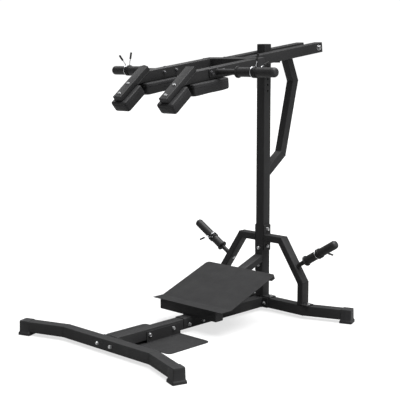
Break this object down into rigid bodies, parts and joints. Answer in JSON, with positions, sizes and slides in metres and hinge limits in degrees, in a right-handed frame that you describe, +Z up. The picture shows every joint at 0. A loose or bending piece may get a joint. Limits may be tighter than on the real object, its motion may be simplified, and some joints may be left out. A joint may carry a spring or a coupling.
{
  "type": "leverage hack squat machine",
  "caption": "Free-standing leverage squat machine: floor frame, mast, pivoting lever with shoulder pads, inclined foot plate, plate horns with spring collars.",
  "frame": {"origin": "on the floor, under the centre of the whole machine's box", "axes": "+Z up; +X to the machine's right as seen by someone who faces it from the pad end; -Y points from the mast to the pads and the front floor tube"},
  "size_m": [1.2612, 1.7871, 1.5943],
  "materials": {
    "black_paint": "matt black powder coat",
    "deck_paint": "rough dark grey powder coat",
    "black_plastic": "matt moulded",
    "black_rubber": "matt",
    "black_vinyl": "grained black vinyl",
    "zinc_steel": "bright zinc plate",
    "spring_steel": "chromed spring wire",
    "bronze": "sintered bronze"
  },
  "bodies": {
    "frame": {"front_tube": "black_paint", "rear_tube": "black_paint", "front_foot_left": "black_plastic", "front_foot_right": "black_plastic", "rear_foot_left": "black_plastic", "rear_foot_right": "black_plastic", "centre_beam": "black_paint", "beam_plate_front": "black_paint", "beam_plate_rear": "black_paint", "floor_plate": "deck_paint", "saddle": "black_paint", "toe_tube": "black_paint", "foot_plate": "deck_paint", "plate_support": "black_paint", "mast": "black_paint", "mast_cap": "black_plastic", "leg_left": "black_paint", "leg_right": "black_paint", "rear_brace": "black_paint", "top_arm": "black_paint", "pivot_bush_left": "bronze", "pivot_bush_right": "bronze", "arm_bracket": "black_paint", "rest_pad_left": "black_rubber", "rest_pad_right": "black_rubber", "storage_horn_left": "black_paint", "storage_horn_right": "black_paint", "storage_sleeve_left": "black_paint", "storage_sleeve_right": "black_paint"},
    "lever": {"lever_rear_bar_left": "black_paint", "lever_rear_bar_right": "black_paint", "lever_cross_tube": "black_paint", "lever_front_bar_left": "black_paint", "lever_front_bar_right": "black_paint", "pad_arm_left": "black_paint", "pad_arm_right": "black_paint", "rear_pad_left": "black_vinyl", "rear_pad_right": "black_vinyl", "front_pad_left": "black_vinyl", "front_pad_right": "black_vinyl", "upper_horn_left": "black_paint", "upper_horn_right": "black_paint", "upper_sleeve_left": "black_paint", "upper_sleeve_right": "black_paint", "pivot_bolt": "zinc_steel", "pivot_nut": "zinc_steel"},
    "collar_upper_right": {"collar_spring_upper_right": "spring_steel", "collar_grip_upper_right_a": "black_rubber", "collar_grip_upper_right_b": "black_rubber"},
    "collar_upper_left": {"collar_spring_upper_left": "spring_steel", "collar_grip_upper_left_a": "black_rubber", "collar_grip_upper_left_b": "black_rubber"},
    "collar_storage_right": {"collar_spring_storage_right": "spring_steel", "collar_grip_storage_right_a": "black_rubber", "collar_grip_storage_right_b": "black_rubber"},
    "collar_storage_left": {"collar_spring_storage_left": "spring_steel", "collar_grip_storage_left_a": "black_rubber", "collar_grip_storage_left_b": "black_rubber"}
  },
  "joints": [
    {"name": "lever_pivot", "type": "hinge", "parent": "frame", "child": "lever", "pos_m": [0, 0.855, 1.56], "axis": [-1, 0, 0], "range_deg": [0, 35]},
    {"name": "collar_slide_upper_right", "type": "slide", "parent": "lever", "child": "collar_upper_right", "axis": [1, 0, 0], "range_m": [-0.085, 0.105]},
    {"name": "collar_slide_upper_left", "type": "slide", "parent": "lever", "child": "collar_upper_left", "axis": [-1, 0, 0], "range_m": [-0.1, 0.09]},
    {"name": "collar_slide_storage_right", "type": "slide", "parent": "frame", "child": "collar_storage_right", "axis": [0.8526, 0, 0.5225], "range_m": [-0.08, 0.105]},
    {"name": "collar_slide_storage_left", "type": "slide", "parent": "frame", "child": "collar_storage_left", "axis": [-0.8526, 0, 0.5225], "range_m": [-0.062, 0.12]}
  ]
}
